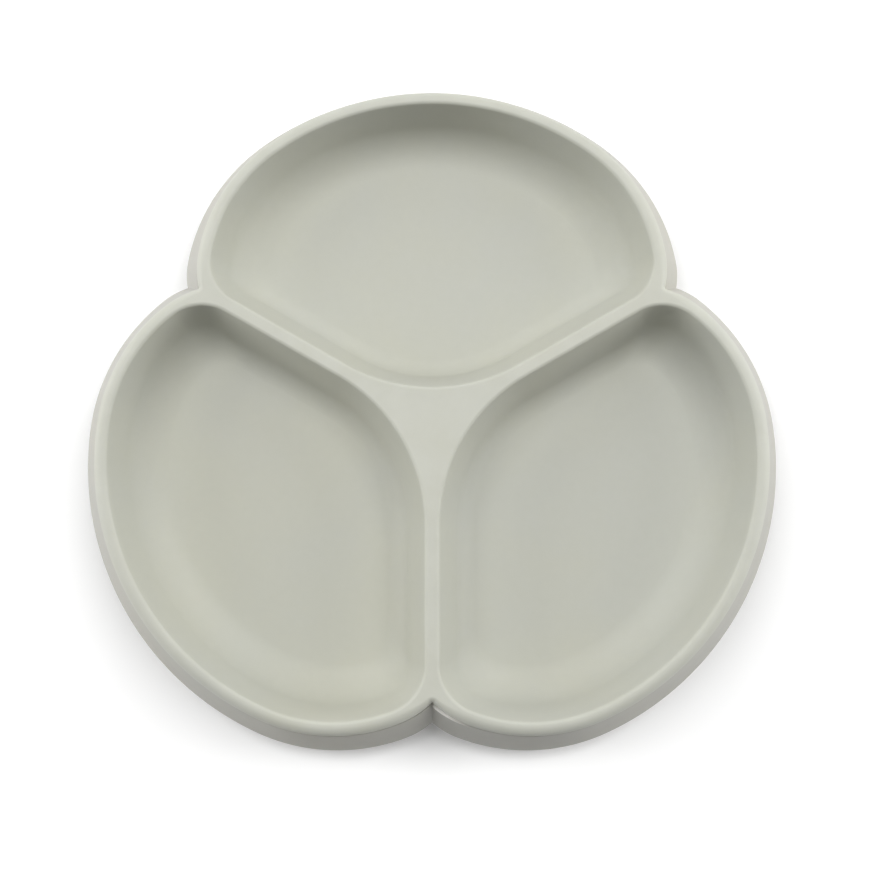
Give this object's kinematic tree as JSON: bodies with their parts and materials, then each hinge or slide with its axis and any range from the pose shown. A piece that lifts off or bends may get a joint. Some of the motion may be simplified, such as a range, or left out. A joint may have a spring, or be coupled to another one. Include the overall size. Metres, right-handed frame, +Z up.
{
  "type": "suction bowl",
  "caption": "Divided silicone suction bowl for a baby: a lift-out tray with rounded wells in a flared holder that stands on a suction ring with a release tab.",
  "frame": {"origin": "centre of the bounding box, on the table plane that the sealing lip stands on", "axes": "+Z up; +X to the right, seen from the side with the release tab; +Y towards the single rear well"},
  "size_m": [0.1954, 0.189, 0.026],
  "materials": {
    "silicone_tray": "matte, sage green",
    "silicone_holder": "matte, sage green",
    "silicone_base": "matte, sage green, slightly glossy where it seals"
  },
  "bodies": {
    "seal": {"sealing_lip": "silicone_base"},
    "holder": {"outer_holder": "silicone_holder", "suction_collar": "silicone_base", "suction_diaphragm": "silicone_base"},
    "tray": {"divided_tray": "silicone_tray"},
    "tab": {"release_tab": "silicone_base"}
  },
  "joints": [
    {"name": "press_down", "type": "slide", "parent": "seal", "child": "holder", "axis": [0, 0, -1], "range_m": [0, 0.002], "stiffness_N_per_m": 6000, "deforming": ["suction_diaphragm"]},
    {"name": "tray_lift", "type": "slide", "parent": "holder", "child": "tray", "axis": [0, 0, 1], "range_m": [0, 0.035]},
    {"name": "tab_peel", "type": "hinge", "parent": "seal", "child": "tab", "pos_m": [0, -0.07845, 0.0011], "axis": [-1, 0, 0], "range_deg": [0, 30], "stiffness_Nm_per_rad": 0.03}
  ]
}
